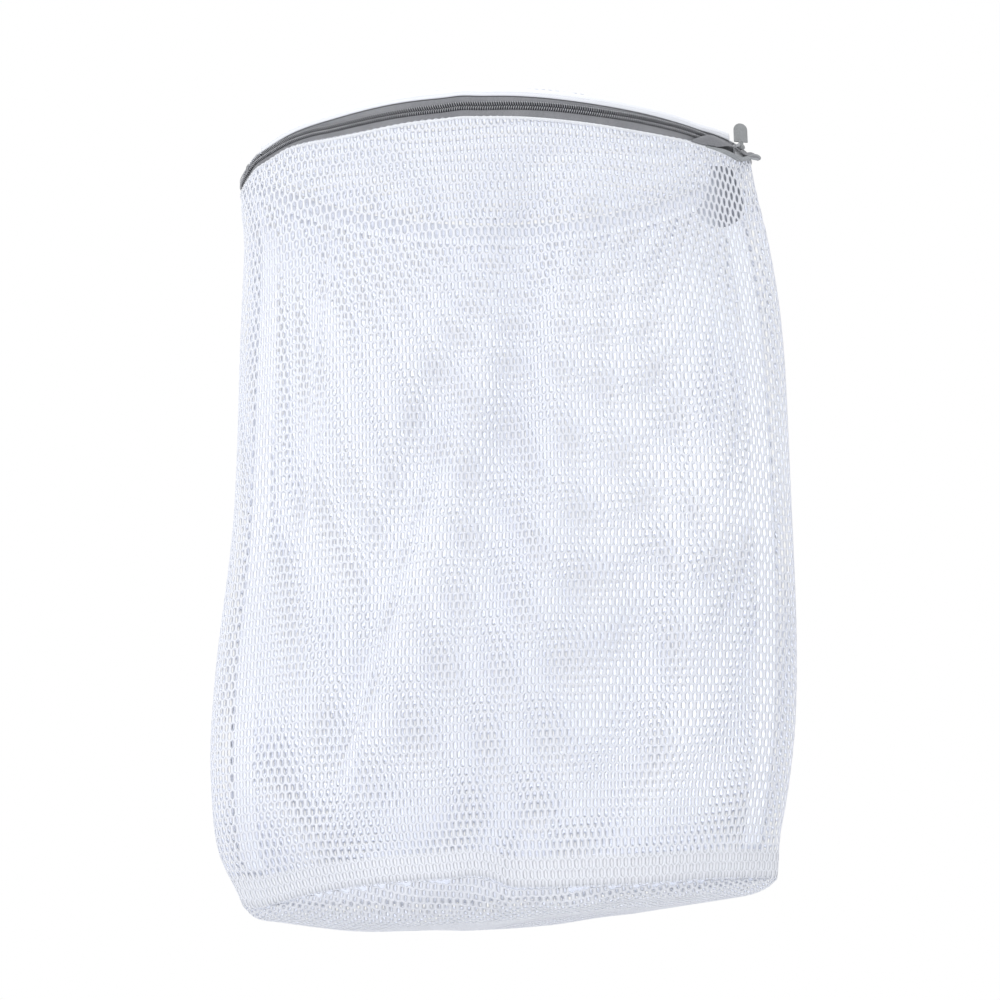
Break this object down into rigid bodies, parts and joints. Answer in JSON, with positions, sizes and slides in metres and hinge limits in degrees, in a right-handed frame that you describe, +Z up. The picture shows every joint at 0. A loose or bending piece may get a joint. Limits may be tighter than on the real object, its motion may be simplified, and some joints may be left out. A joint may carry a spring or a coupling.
{
  "type": "mesh laundry bag",
  "caption": "Soft cylindrical net laundry bag with a net base, a hinged net lid and a curved coil zipper round the front of the rim.",
  "frame": {"origin": "middle of the bag's box, at the level that the base panel rests on", "axes": "+Z up along the bag, -Y towards the zipper at the front, +X towards the slider's closed end"},
  "size_m": [0.3697, 0.201, 0.5095],
  "materials": {
    "net": "knitted polyester net with staggered oval holes",
    "binding": "soft woven seam tape",
    "zip_tape": "woven polyester tape, matt",
    "coil": "nylon monofilament, slight gloss",
    "thread": "twisted sewing thread",
    "tack_thread": "dense zigzag stitches",
    "slider_metal": "baked grey paint, satin",
    "puller_plastic": "moulded, fine satin grain"
  },
  "bodies": {
    "bag": {"front_panel": "net", "back_panel": "net", "base_panel": "net", "lid_rear": "net", "left_side_binding": "binding", "right_side_binding": "binding", "base_binding": "binding", "rim_binding": "binding", "wall_zip_tape": "zip_tape", "wall_coil": "coil", "wall_topstitch": "thread", "upper_tape_ends": "zip_tape", "upper_coil_ends": "coil", "slider_garage": "zip_tape", "bar_tacks": "tack_thread", "tape_tail": "zip_tape"},
    "lid": {"lid_flap": "net", "lid_zip_tape": "zip_tape", "lid_coil": "coil", "lid_topstitch": "thread"},
    "slider": {"slider_body": "slider_metal", "slider_crown": "slider_metal", "puller_pin": "slider_metal"},
    "puller": {"puller_tab": "puller_plastic"}
  },
  "joints": [
    {"name": "lid_fold", "type": "hinge", "parent": "bag", "child": "lid", "pos_m": [0.00785, -0.02173, 0.5036], "axis": [-0.9994, 0, 0.0349], "range_deg": [0, 120]},
    {"name": "zip_run", "type": "hinge", "parent": "bag", "child": "slider", "pos_m": [0.00679, 0.09304, 0.47308], "axis": [-0.0347, -0.0958, -0.9948], "range_deg": [0, 104.5]},
    {"name": "puller_swing", "type": "hinge", "parent": "slider", "child": "puller", "pos_m": [0.1641, -0.02651, 0.48212], "axis": [0.6057, 0.7897, -0.0972], "range_deg": [0, 125]}
  ]
}
